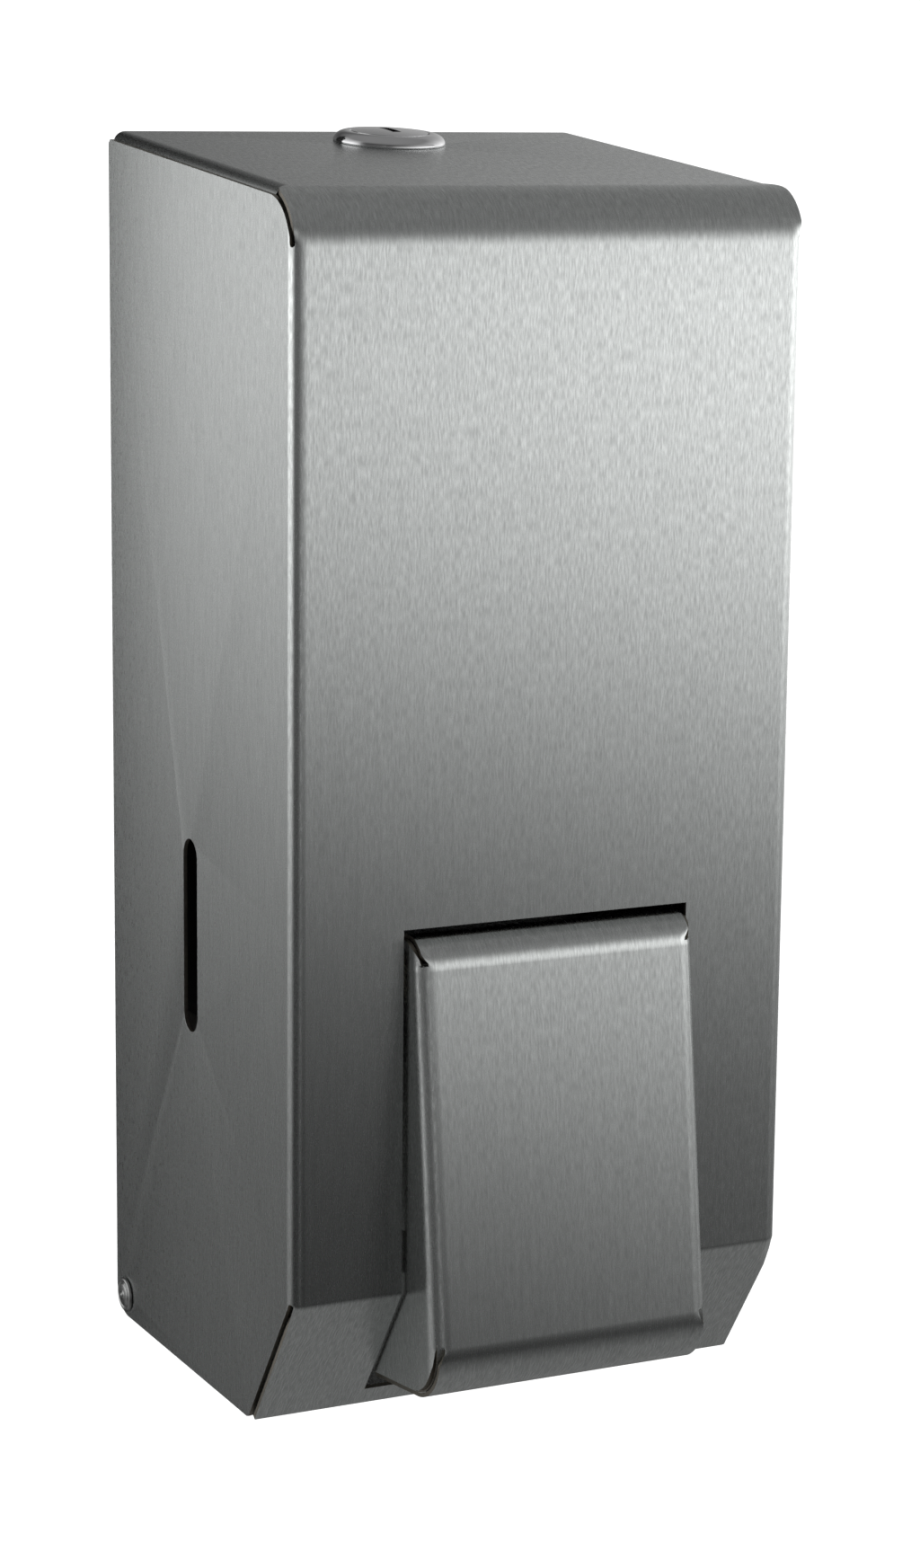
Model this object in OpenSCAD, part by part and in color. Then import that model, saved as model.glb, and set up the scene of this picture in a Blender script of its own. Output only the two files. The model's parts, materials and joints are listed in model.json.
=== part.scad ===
// Wall mounted soap dispenser with a folded steel cover, a push lever and a piston pump.
// The origin is at the centre of the four wall holes, on the wall plane. The front faces -Y.
// Side views are drawn as [forward, up]: millimetres out from the wall, and above the cover's bottom.

/* [Cover] */
// Width over the side panels
cover_w = 125; // [124:0.5:130]
// Height of the rear edge
cover_h = 290; // [288:1:300]
// Depth from the rear edge to the front face
cover_d = 110; // [110:0.5:112]
// Thickness of the folded sheet
sheet = 1; // [0.8:0.1:1]
// Fall of the top for each millimetre forward
top_fall = 0.1; // [0.08:0.01:0.11]
// Outside radius of the bend between top and front
brow_r = 13; // [8:1:14]
// Outside radius of the upright front bends
edge_r = 3.2; // [2:0.1:5]
// Height of the slanted lower panel
chamfer_h = 33.5; // [30:0.5:36]
// Depth of the slanted lower panel
chamfer_d = 23; // [20:0.5:24]

/* [Openings in the cover] */
// Width of the lever window
window_w = 71.6; // [71:0.1:73]
// Top of the lever window
window_top = 117.8; // [117.6:0.1:119]
// Width of the viewing slot
slot_w = 8.4; // [6:0.1:10]
// Length of the viewing slot
slot_l = 46; // [30:1:50]

/* [Push lever] */
// Width over the lever's flanges
lever_w = 69; // [68:0.1:69.4]
// Length of the lever's face
lever_l = 105.5; // [104:0.5:106]
// Tilt of the face, bottom outwards, in degrees
lever_tilt = 6.75; // [6:0.25:7]

/* [Wall holes] */
// Spacing across the plate
hole_dx = 84; // [80:1:90]
// Spacing up the plate
hole_dz = 224; // [216:1:226]
// Radius of each hole
hole_r = 2.75; // [2:0.05:3.25]

/* [Tank] */
// Width of the soap tank
tank_w = 96; // [80:1:98]
// Wall of the soap tank
tank_wall = 2; // [1.5:0.1:3]

/* [Hidden] */
$fn = 64;

cut = 2;                 // how far a cutter runs past the face that it cuts
touch = 0.3;             // gap between pieces that meet and move apart
running = 0.05;          // radial clearance of a pin in its hole
far = 200;               // longer than anything that is cut

// Cover
wall_gap = 1;
front_f = wall_gap + cover_d;
chamfer_f = front_f - chamfer_d;
chamfer_m = chamfer_h / chamfer_d;
heel_r = 7.5;
hem_d = 17;
window_bottom = 4.7;
relief_r = 0.8;
slot_f = wall_gap + 50;
slot_z = 106.25;
base_z = 150;            // height of the wall holes' centre above the cover's bottom

// Hinge
hinge_f = 7.5;
hinge_z = 5.5;
rivet_r = 2.5;
rivet_head_r = 4.3;
rivet_head_t = 1.6;

// Back plate
plate_t = 1.2;
plate_w = 119;
plate_bottom = 0.5;
plate_top = 285;
return_d = 18;
lug_d = 14;
lug_h = 16;

// Lock, measured along its own axis from the cover's top face
lock_f = wall_gap + 22.5;
lock_tilt = atan(top_fall);
lock_top = cover_h - top_fall * (lock_f - wall_gap);
barrel_r = 9.4;
barrel_l = 18;
bezel_r = 13.4;
plug_face_r = 9.2;
plug_r = 6.2;
tail_w = 6;
cam_h = -20;
cam_t = 1.8;
cam_l = 19;
cam_w = 10;

// Lever
lever_f = 116.3;
lever_z = 117.2;
lever_top_r = 8;
lever_bottom_r = 13;
lever_edge_r = 3;
lever_top_d = 22;
lever_bottom_d = 38;
pivot_f = 101.6;
pivot_z = 105.4;
pin_r = 2;
bracket_x = 36.9;
bracket_t = 1.2;
nose_f = 119.7;
nose_z = 46;
nose_r = 8;

// Tank
tank_f = 4;
tank_d = 76;
tank_bottom = 78;
tank_top = 236;
tank_r = 9;
filler_f = 46;
filler_r = 15;
filler_bore = 12.5;
filler_top = 246;
cap_r = 18;
cap_top = 250;

// Pump
pump_z = 46;
pump_rear = 44;
pump_front = 92;
pump_r = 12;
bore_r = 9.5;
inlet_f = 54;
outlet_f = 64;
neck_r = 13;
neck_end = 67;
flange_top = 66;
flange_t = 2;
ball_r = 3.2;
ball_z = 59.8;
ball_travel = 2.5;
seat_r = 2.4;
seat_z = ball_z + ball_travel + sqrt(ball_r ^ 2 - seat_r ^ 2) + touch;
piston_l = 4;
piston_f = pump_front - piston_l - touch;
rod_r = 4;
button_f = nose_f - nose_r - touch;
shelf_t = 1.2;

// Draws its children with heights measured from the cover's bottom
module from_base() translate([0, 0, -base_z]) children();

// Places its children at a side-view position
module at(f, z, x = 0) translate([x, -f, z]) children();

// Turns +Z forwards, away from the wall
module forwards() rotate([90, 0, 0]) children();

// Turns +Z to +X
module sideways() rotate([0, 90, 0]) children();

// Draws its children on both sides
module both_sides() {
  children();
  mirror([1, 0, 0]) children();
}

// Extrudes a side view across the width w, centred
module across(w) rotate([90, 0, -90]) linear_extrude(w, center = true) children();

// A block given by its lowest corner in x, its rear face, its bottom, and its size
module block(x, f, z, w, d, h) translate([x, -f - d, z]) cube([w, d, h]);

// A ring or washer standing on its base
module ring(outer, inner, h) difference() {
  cylinder(r = outer, h = h);
  translate([0, 0, -cut]) cylinder(r = inner, h = h + 2 * cut);
}

// A rectangle centred on x, from y = 0 to d, whose far corners are rounded
module front_rounded(w, d, r) {
  translate([-w / 2, 0]) square([w, d - r]);
  translate([-w / 2 + r, 0]) square([w - 2 * r, d]);
  for (side = [-1, 1]) translate([side * (w / 2 - r), d - r]) circle(r);
}

// A rectangle with four round corners, from y = 0 to d
module all_rounded(w, d, r) {
  translate([-w / 2, r]) square([w, d - 2 * r]);
  translate([-w / 2 + r, 0]) square([w - 2 * r, d]);
  for (x = [-1, 1], y = [r, d - r]) translate([x * (w / 2 - r), y]) circle(r);
}

// Extrudes a plan view, drawn as [x, forward], upwards
module upright(z, h) translate([0, 0, z]) mirror([0, 1, 0]) linear_extrude(h) children();

// ---------- cover ----------

// Height of the cover's top face at a distance from the wall, inset by t
function top_at(f, t) = cover_h - top_fall * (f - wall_gap) - t * sqrt(1 + top_fall ^ 2);

// Height of the slanted panel's line at a distance from the wall, inset by t
function slant_at(f, t) = chamfer_m * (f - chamfer_f) + t * sqrt(1 + chamfer_m ^ 2);

brow_drop = brow_r * (sqrt(1 + top_fall ^ 2) - top_fall);
brow_f = front_f - brow_r;
brow_z = top_at(front_f, 0) - brow_drop;

// Side view of the cover, inset by t, from the rear limit to the front
module cover_outline(rear, bottom, t) {
  foot = chamfer_f + (bottom - t * sqrt(1 + chamfer_m ^ 2)) / chamfer_m;
  polygon([
    [rear, bottom],
    [foot, bottom],
    [front_f - t, slant_at(front_f - t, t)],
    [front_f - t, brow_z],
    [brow_f + (brow_r - t) * sin(lock_tilt), brow_z + (brow_r - t) * cos(lock_tilt)],
    [rear, top_at(rear, t)]
  ]);
  translate([brow_f, brow_z]) circle(brow_r - t);
}

module cover_blank() intersection() {
  across(cover_w) cover_outline(wall_gap, 0, 0);
  upright(-cut, far * 2) front_rounded(cover_w, front_f, edge_r);
}

module cover_hollow() intersection() {
  across(cover_w - 2 * sheet) cover_outline(wall_gap - cut, -cut, sheet);
  upright(-2 * cut, far * 2) front_rounded(cover_w - 2 * sheet, front_f - sheet, edge_r - sheet);
}

// Rounds the side panels' lower rear corners
module heel_cut() difference() {
  across(far) translate([wall_gap - cut, -cut]) square(heel_r + cut);
  across(far + cut) translate([wall_gap + heel_r, heel_r]) circle(heel_r);
}

module lever_window() {
  corner = 1.5;
  at(chamfer_f - cut, 0) forwards() linear_extrude(far)
    translate([0, window_bottom]) all_rounded(window_w, window_top - window_bottom, corner);
}

module viewing_slot() {
  reach = (slot_l - slot_w) / 2;
  at(slot_f, slot_z, -cover_w / 2 - cut) sideways() linear_extrude(10) {
    for (end = [-reach, reach]) translate([end, 0]) circle(d = slot_w);
    square([2 * reach, slot_w], center = true);
  }
}

module on_lock_axis() at(lock_f, lock_top) rotate([lock_tilt, 0, 0]) children();

module cover() color("silver") from_base() difference() {
  union() {
    difference() {
      cover_blank();
      cover_hollow();
    }
    // inward hem along the slanted panel's lower edge
    block(-cover_w / 2 + sheet, chamfer_f - hem_d, 0, cover_w - 2 * sheet, hem_d, sheet);
  }
  heel_cut();
  lever_window();
  viewing_slot();
  on_lock_axis() translate([0, 0, -10]) cylinder(r = barrel_r + running, h = 20);
  at(hinge_f, hinge_z, -far / 2) sideways() cylinder(r = rivet_r + running, h = far);
  both_sides() at(front_f, chamfer_h, cover_w / 2) sideways()
    translate([0, 0, -cut]) cylinder(r = relief_r, h = 2 * cut);
}

// ---------- back plate and hinge ----------

module wall_hole_positions() for (x = [-1, 1], z = [-1, 1])
  translate([x * hole_dx / 2, 0, z * hole_dz / 2]) children();

module back_plate() color("lightgray") difference() {
  from_base() {
    block(-plate_w / 2, 0, lug_h, plate_w, plate_t, plate_top - lug_h);
    both_sides() {
      block(plate_w / 2 - plate_t, 0, lug_h, plate_t, return_d, plate_top - lug_h);
      block(plate_w / 2 - plate_t, 0, plate_bottom, plate_t, lug_d, lug_h - plate_bottom);
    }
    // bent foot that stiffens the lower edge
    block(-plate_w / 2, 0, lug_h, plate_w, 8, plate_t);
  }
  wall_hole_positions() translate([0, cut, 0]) forwards() cylinder(r = hole_r, h = 3 * cut);
  from_base() at(hinge_f, hinge_z, -far / 2) sideways() cylinder(r = rivet_r, h = far);
}

module hinge_rivets() color("silver") from_base() both_sides() at(hinge_f, hinge_z) {
  lug_in = plate_w / 2 - plate_t;
  head_x = cover_w / 2 + touch / 2;
  dome_r = 6.6;
  sideways() rotate_extrude() {
    translate([0, lug_in - 1.5]) square([rivet_r + 1.4, 1.5]);
    translate([0, lug_in - 1]) square([rivet_r, head_x - lug_in + 1.2]);
    intersection() {
      translate([0, head_x]) square([rivet_head_r, rivet_head_t]);
      translate([0, head_x + rivet_head_t - dome_r]) circle(dome_r);
    }
  }
}

module hinge_washers() color("white") from_base() both_sides()
  at(hinge_f, hinge_z, plate_w / 2) sideways()
    ring(5, rivet_r, (cover_w - plate_w) / 2 - sheet - touch);

module cover_bumpers() color("dimgray") from_base() both_sides()
  block(plate_w / 2, 6, 250, (cover_w - plate_w) / 2 - sheet - touch, 8, 12);

// ---------- lock ----------

// Striker bent from strip: the cam hooks behind its upturned lip
module lock_catch() color("lightgray") from_base() {
  strip_t = 1.2;
  reach = 28;
  block(13, plate_t, 260, 12, reach - plate_t, strip_t);
  block(13, reach, 260, 12, strip_t, 12);
  block(13, plate_t, 260, 12, strip_t, 16);
}

module lock_housing() color("gainsboro") from_base() on_lock_axis() difference() {
  union() {
    rotate_extrude() polygon([[0, 0], [bezel_r, 0], [bezel_r, 0.9], [bezel_r - 0.5, 1.4],
      [plug_face_r + 0.9, 2.7], [0, 2.7]]);
    translate([0, 0, -barrel_l]) cylinder(r = barrel_r, h = barrel_l + 1);
  }
  translate([0, 0, 1]) cylinder(r = plug_face_r + 0.08, h = 5);
  translate([0, 0, -barrel_l - cut]) cylinder(r = plug_r + running, h = barrel_l + 2 * cut);
}

module lock_plug() color("white") from_base() on_lock_axis() difference() {
  union() {
    // slightly domed face
    intersection() {
      translate([0, 0, 1.1]) cylinder(r = plug_face_r, h = 2.2);
      translate([0, 0, 3.2 - 84]) sphere(84, $fn = 200);
    }
    translate([0, 0, -barrel_l - 1.5]) cylinder(r = plug_r, h = barrel_l + 3);
    translate([-tail_w / 2, -tail_w / 2, cam_h - cam_t]) cube([tail_w, tail_w, 4]);
  }
  translate([-1.1, -4.25, -8]) cube([2.2, 8.5, 20]);
  translate([0, 0, cam_h - cam_t - cut]) cylinder(r = 1.5, h = 8);
}

module lock_cam() color("lightgray") from_base() on_lock_axis() difference() {
  union() {
    translate([0, 0, cam_h - cam_t]) cylinder(r = 8, h = cam_t);
    translate([-cam_w / 2, 0, cam_h - cam_t]) cube([cam_w, cam_l, cam_t]);
  }
  translate([-tail_w / 2, -tail_w / 2, cam_h - cam_t - cut]) cube([tail_w, tail_w, 4 * cut]);
}

module cam_screw() color("gray") from_base() on_lock_axis() difference() {
  union() {
    translate([0, 0, cam_h - cam_t - 2]) cylinder(r = 5, h = 2);
    translate([0, 0, cam_h - cam_t - 1]) cylinder(r = 1.5, h = 6);
  }
  translate([-0.5, -6, cam_h - cam_t - 3]) cube([1, 12, 2]);
}

module lock_washer() color("gray") from_base() on_lock_axis()
  translate([0, 0, -sheet - 0.8]) ring(12, barrel_r, 0.8);

module lock_nut() color("gainsboro") from_base() on_lock_axis()
  translate([0, 0, -sheet - 5.8]) difference() {
    cylinder(r = 12.2, h = 5, $fn = 6);
    translate([0, 0, -cut]) cylinder(r = barrel_r, h = 5 + 2 * cut);
  }

// ---------- tank ----------

shelf_front = 82;
shelf_w = 92;

module reservoir_shelf() color("lightgray") from_base() difference() {
  union() {
    block(-shelf_w / 2, plate_t, tank_bottom - shelf_t, shelf_w, shelf_front - plate_t, shelf_t);
    block(-shelf_w / 2, plate_t, tank_bottom - 20, shelf_w, shelf_t, 20);
    both_sides() shelf_web();
    block(-shelf_w / 2, shelf_front - shelf_t, tank_bottom - shelf_t, shelf_w, shelf_t, 6);
  }
  // keyway for the tank's neck, open to the front
  at(inlet_f, tank_bottom - 5) cylinder(r = neck_r + 0.4, h = 10);
  block(-neck_r - 0.4, inlet_f, tank_bottom - 5, 2 * neck_r + 0.8, 40, 20);
  for (x = [-1, 1]) at(0, tank_bottom - 12, x * 38) forwards() cylinder(r = 2, h = 10);
}

// Triangular web at the side of the shelf
module shelf_web() translate([shelf_w / 2 - shelf_t / 2, 0, 0]) across(shelf_t)
  polygon([[plate_t, tank_bottom - 20], [plate_t, tank_bottom],
    [shelf_front, tank_bottom], [shelf_front, tank_bottom - 4]]);

module shelf_rivets() color("silver") from_base() for (x = [-1, 1]) at(0, tank_bottom - 12, x * 38)
  forwards() {
    translate([0, 0, plate_t]) cylinder(r = 2, h = shelf_t);
    translate([0, 0, plate_t + shelf_t]) cylinder(r1 = 3.8, r2 = 2.4, h = 1.4);
  }

module reservoir() color("dimgray") from_base() difference() {
  union() {
    upright(tank_bottom, tank_top - tank_bottom) translate([0, tank_f])
      all_rounded(tank_w, tank_d, tank_r);
    at(inlet_f, neck_end) cylinder(r = neck_r, h = tank_bottom - neck_end + 1);
    at(filler_f, tank_top - 1) cylinder(r = filler_r, h = filler_top - tank_top + 1);
    // moulded ribs that locate the tank on the shelf
    both_sides() block(20, tank_f - 2.8, tank_bottom + 30, 6, 4, 90);
  }
  upright(tank_bottom + tank_wall, tank_top - tank_bottom - 2 * tank_wall)
    translate([0, tank_f + tank_wall])
      all_rounded(tank_w - 2 * tank_wall, tank_d - 2 * tank_wall, tank_r - tank_wall);
  at(inlet_f, neck_end - cut) cylinder(r = neck_r - 3, h = 20);
  at(filler_f, tank_top - 5) cylinder(r = filler_bore, h = 20);
}

module reservoir_clip() color("lightgray") from_base() {
  block(-15, plate_t, tank_top + touch, 30, 16, 1);
  block(-15, plate_t, tank_top + touch, 30, 1, 16);
  block(-15, plate_t + 16, tank_top + touch, 30, 1, 3);
}

module filler_cap() color("black") from_base() at(filler_f, 0) difference() {
  union() {
    translate([0, 0, tank_top + 1.5]) cylinder(r = cap_r, h = cap_top - tank_top - 1.5);
    // grip ribs
    for (turn = [15:30:345]) rotate([0, 0, turn]) translate([cap_r - 0.6, 0, tank_top + 1.5])
      cylinder(r = 1.2, h = cap_top - tank_top - 3);
  }
  translate([0, 0, tank_top]) cylinder(r = filler_r + touch, h = filler_top - tank_top + 1.5);
  for (side = [-1, 1]) translate([side * 10 - 5, -12, cap_top - 1.2]) cube([10, 24, 3]);
}

module cap_seal() color("red") from_base() at(filler_f, filler_top + 0.1)
  ring(filler_r - 0.2, filler_bore + 0.3, 1.2);

// ---------- pump ----------

module outlet_gasket() color("red") from_base() at(inlet_f, flange_top)
  ring(neck_r - 0.6, 5, neck_end - flange_top);

module coupling_nut() color("black") from_base() at(inlet_f, 0) difference() {
  bottom = flange_top - flange_t - 3;
  top = tank_bottom - shelf_t - 0.6;
  union() {
    translate([0, 0, bottom]) cylinder(r = 17, h = top - bottom);
    for (turn = [15:30:345]) rotate([0, 0, turn]) translate([16.7, 0, bottom])
      cylinder(r = 1, h = top - bottom - 1.5);
  }
  translate([0, 0, bottom + 3]) cylinder(r = neck_r + 0.05, h = 40);
  translate([0, 0, bottom - cut]) cylinder(r = 8.2, h = 20);
}

module pump_body() color("whitesmoke") from_base() difference() {
  union() {
    at(pump_rear, pump_z) forwards() cylinder(r = pump_r, h = pump_front - pump_rear);
    at(inlet_f, pump_z) cylinder(r = 8, h = flange_top - pump_z);
    at(inlet_f, flange_top - flange_t) cylinder(r = neck_r - 0.4, h = flange_t);
    at(outlet_f, 27) cylinder(r = 6, h = pump_z - 27);
  }
  at(pump_rear + 3, pump_z) forwards() cylinder(r = bore_r, h = far);
  // ball chamber, with a cross-shaped way past the ball below it and a round seat above
  at(inlet_f, ball_z - ball_r) cylinder(r = ball_r + 0.6, h = seat_z - ball_z + ball_r);
  at(inlet_f, ball_z) cylinder(r = seat_r, h = 20);
  for (turn = [0, 90]) at(inlet_f, pump_z) rotate([0, 0, turn])
    translate([-3.6, -1, 0]) cube([7.2, 2, ball_z - ball_r - pump_z + 1]);
  at(outlet_f, 20) cylinder(r = 2.6, h = pump_z - 20);
}

module inlet_ball() color("silver") from_base() at(inlet_f, ball_z + touch / 2) sphere(ball_r);

module pump_cap() color("black") from_base() at(pump_front - 8, pump_z) forwards() difference() {
  length = 11.5;
  union() {
    cylinder(r = 14.5, h = length);
    for (turn = [15:30:345]) rotate([0, 0, turn]) translate([14.2, 0, 0])
      cylinder(r = 1, h = length - 1.5);
  }
  translate([0, 0, -cut]) cylinder(r = pump_r, h = 8 + cut);
  translate([0, 0, -cut]) cylinder(r = rod_r + running, h = length + 2 * cut);
}

// Points of a ring of a round wire that follows a helix along +Z
function wire_ring(r, wire, pitch, turn, sides) = [for (i = [0:sides - 1])
  let (a = 360 * i / sides, reach = r + wire * cos(a), rise = wire * sin(a))
    [reach * cos(turn), reach * sin(turn), pitch * turn / 360 + rise]];

module helix(r, wire, length, turns) {
  sides = 8;
  steps = 24 * turns;
  pitch = (length - 2 * wire) / turns;
  rings = [for (s = [0:steps]) wire_ring(r, wire, pitch, 360 * turns * s / steps, sides)];
  points = [for (ring = rings) each ring];
  skin = [for (s = [0:steps - 1], i = [0:sides - 1])
    let (j = (i + 1) % sides, a = s * sides + i, b = s * sides + j)
      each [[a, b, a + sides], [b, b + sides, a + sides]]];
  start = [for (i = [1:sides - 2]) [0, i + 1, i]];
  last = steps * sides;
  end = [for (i = [1:sides - 2]) [last, last + i, last + i + 1]];
  translate([0, 0, wire]) polyhedron(points, concat(skin, start, end));
}

module pump_spring() color("silver") from_base() at(pump_rear + 3, pump_z) forwards()
  helix(6.5, 0.6, piston_f - pump_rear - 3, 6);

// Channel from the back plate: its end stands behind the pump and takes the lever's push
module pump_bracket() color("lightgray") from_base() {
  strip_t = 1.2;
  low = pump_z - pump_r - strip_t;
  block(-10, pump_rear - strip_t, low, 20, strip_t, 2 * pump_r + strip_t);
  block(-8, pump_rear, low, 16, 10, strip_t);
  both_sides() {
    block(10 - strip_t, plate_t, pump_z - 8, strip_t, pump_rear - plate_t, 16);
    block(10 - strip_t, plate_t, pump_z - 8, 11, strip_t, 16);
  }
}

module nozzle() color("whitesmoke") from_base() at(outlet_f, 0) difference() {
  rotate_extrude() polygon([[0, 8], [3.6, 8], [4.4, 18], [8.5, 21], [8.5, 32], [0, 32]]);
  translate([0, 0, 26.6]) cylinder(r = 6, h = 10);
  translate([0, 0, 18]) cylinder(r = 3.6, h = 10);
  translate([0, 0, 0]) cylinder(r = 2.2, h = 20);
}

module outlet_valve() color("red") from_base() at(outlet_f, 0) difference() {
  union() {
    translate([0, 0, 26.6]) mirror([0, 0, 1]) cylinder(r = 3.6, h = 3);
    translate([0, 0, 19]) intersection() {
      cylinder(r = 3, h = 5);
      rotate([90, 0, 0]) linear_extrude(8, center = true)
        polygon([[-0.5, 0], [0.5, 0], [3, 5], [-3, 5]]);
    }
  }
  translate([0, 0, 24.4]) cylinder(r = 2, h = 5);
}

module plunger() color("whitesmoke") from_base() at(piston_f, pump_z) forwards() difference() {
  union() {
    cylinder(r = bore_r - 0.4, h = piston_l);
    cylinder(r = rod_r, h = button_f - piston_f - 3);
  }
  translate([0, 0, 1]) ring(bore_r + 1, bore_r - 2, 2);
}

module plunger_seal() color("black") from_base() at(piston_f + 1, pump_z) forwards()
  ring(bore_r - running, bore_r - 2, 2);

module plunger_button() color("black") from_base() at(button_f - 4, pump_z) forwards() difference() {
  cylinder(r = 9, h = 4);
  translate([0, 0, -cut]) cylinder(r = rod_r, h = 1 + cut);
}

// ---------- push lever ----------

// The lever's own frame: y runs back from its face, z runs up, and the origin is its top front edge
module on_lever() at(lever_f, lever_z) rotate([-lever_tilt, 0, 0]) children();

// Side view of the lever, drawn as [back, up], inset by t and open at the rear
module lever_outline(t, rear) {
  low = -lever_l;
  polygon([
    [t, -lever_top_r],
    [lever_top_r, -t],
    [lever_top_d + rear, -t],
    [lever_top_d + rear, -24],
    [lever_bottom_d + rear, low + 30],
    [lever_bottom_d + rear, low + t],
    [lever_bottom_r, low + t],
    [t, low + lever_bottom_r]
  ]);
  translate([lever_top_r, -lever_top_r]) circle(lever_top_r - t);
  translate([lever_bottom_r, low + lever_bottom_r]) circle(lever_bottom_r - t);
}

module lever_across(w) rotate([90, 0, 90]) linear_extrude(w, center = true) children();

module lever_plan(w, t) translate([0, 0, -far]) mirror([0, 1, 0])
  translate([0, -far, 0]) linear_extrude(far * 2) front_rounded(w, far - t, lever_edge_r - t);

module lever_tray() difference() {
  intersection() {
    lever_across(lever_w) lever_outline(0, 0);
    lever_plan(lever_w, 0);
  }
  intersection() {
    lever_across(lever_w - 2 * sheet) lever_outline(sheet, far);
    lever_plan(lever_w - 2 * sheet, sheet);
  }
}

module push_lever() color("silver") from_base() {
  tab_f = front_f - sheet - touch - 1.2;
  difference() {
    on_lever() lever_tray();
    at(pivot_f, pivot_z, -far / 2) sideways() cylinder(r = pin_r + 2, h = far);
    // lanced openings that the stop tabs are bent out of
    block(-far / 2, tab_f - 5.4, 38, far, 5.4, 10);
  }
  both_sides() block(lever_w / 2 - sheet, tab_f, 38, 6, 1.2, 10);
}

module lever_bushes() color("ivory") from_base() both_sides() at(pivot_f, pivot_z) difference() {
  union() {
    translate([lever_w / 2 - sheet - 1.5, 0, 0]) sideways() cylinder(r = pin_r + 2, h = 3);
    translate([lever_w / 2, 0, 0]) sideways() cylinder(r = 5.5, h = bracket_x - lever_w / 2 - touch);
    translate([lever_w / 2 - sheet - 3, 0, 0]) sideways() cylinder(r = 5, h = 3);
  }
  sideways() cylinder(r = pin_r + running, h = far);
}

module lever_pad() color("ivory") from_base() intersection() {
  union() {
    at(nose_f, nose_z, -12) sideways() cylinder(r = nose_r, h = 24);
    on_lever() translate([-20, sheet, -90]) cube([40, 2.5, 36]);
    both_sides() on_lever() translate([15, sheet, -88]) cube([2, 6, 32]);
  }
  on_lever() translate([-far / 2, sheet, -far]) cube(far);
}

module lever_brackets() color("lightgray") from_base() both_sides() difference() {
  tail = front_f - sheet - pivot_f;
  union() {
    at(pivot_f, pivot_z, bracket_x) sideways() cylinder(r = 6.5, h = bracket_t);
    block(bracket_x, pivot_f, pivot_z - 6.5, bracket_t, tail, 13);
    block(bracket_x, front_f - sheet - bracket_t, pivot_z - 6.5, 11, bracket_t, 13);
  }
  at(pivot_f, pivot_z, bracket_x - cut) sideways() cylinder(r = pin_r, h = 10);
}

module lever_pin() color("silver") from_base() at(pivot_f, pivot_z, -bracket_x - 4)
  sideways() cylinder(r = pin_r, h = 2 * bracket_x + 8);

module pin_clips() color("gray") from_base() both_sides()
  at(pivot_f, pivot_z, bracket_x + bracket_t) sideways() difference() {
    ring(4.5, pin_r, 0.8);
    translate([1, -1.2, -cut]) cube([10, 2.4, 10]);
  }

back_plate();
hinge_rivets();
hinge_washers();
cover_bumpers();
lock_catch();
reservoir_shelf();
shelf_rivets();
reservoir();
reservoir_clip();
outlet_gasket();
coupling_nut();
pump_body();
pump_cap();
pump_spring();
pump_bracket();
outlet_valve();
nozzle();
inlet_ball();
plunger();
plunger_seal();
plunger_button();
filler_cap();
cap_seal();
cover();
lock_housing();
lock_nut();
lock_washer();
lever_brackets();
lever_pin();
pin_clips();
lock_plug();
lock_cam();
cam_screw();
push_lever();
lever_bushes();
lever_pad();
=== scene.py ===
"""Looks of the wall mounted soap dispenser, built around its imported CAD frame."""
import json
import math

import bmesh
import bpy
from mathutils import Matrix, Vector


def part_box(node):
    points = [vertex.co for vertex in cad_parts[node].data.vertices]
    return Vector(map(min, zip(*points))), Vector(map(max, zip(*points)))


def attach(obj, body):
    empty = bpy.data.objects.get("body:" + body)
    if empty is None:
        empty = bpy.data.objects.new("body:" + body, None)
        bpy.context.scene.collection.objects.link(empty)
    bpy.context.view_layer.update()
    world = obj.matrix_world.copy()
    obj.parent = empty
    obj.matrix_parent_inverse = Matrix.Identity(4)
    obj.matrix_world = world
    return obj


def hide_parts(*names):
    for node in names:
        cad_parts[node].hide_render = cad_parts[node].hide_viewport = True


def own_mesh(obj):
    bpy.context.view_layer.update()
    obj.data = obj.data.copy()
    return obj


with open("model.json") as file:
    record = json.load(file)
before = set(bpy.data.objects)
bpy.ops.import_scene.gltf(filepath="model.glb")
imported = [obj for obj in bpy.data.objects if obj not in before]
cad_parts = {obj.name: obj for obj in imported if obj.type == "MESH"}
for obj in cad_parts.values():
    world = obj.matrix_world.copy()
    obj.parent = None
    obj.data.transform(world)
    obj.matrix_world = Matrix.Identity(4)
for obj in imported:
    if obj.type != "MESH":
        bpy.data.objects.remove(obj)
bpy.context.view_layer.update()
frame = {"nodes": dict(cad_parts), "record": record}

MM = 0.001

# ---------- sizes, in millimetres, worked out from the frame ----------

cover_low, cover_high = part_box("cover")
HALF_W = cover_high[0] / MM              # half the width over the side panels
BASE_Z = cover_low[2] / MM               # height of the cover's bottom in the row frame
FRONT_F = -cover_low[1] / MM             # how far the front face stands out from the wall
REAR_F = -cover_high[1] / MM             # how far the rear edge stands out
COVER_H = cover_high[2] / MM - BASE_Z
SHEET = 1.0                              # thickness of the folded steel

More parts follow.
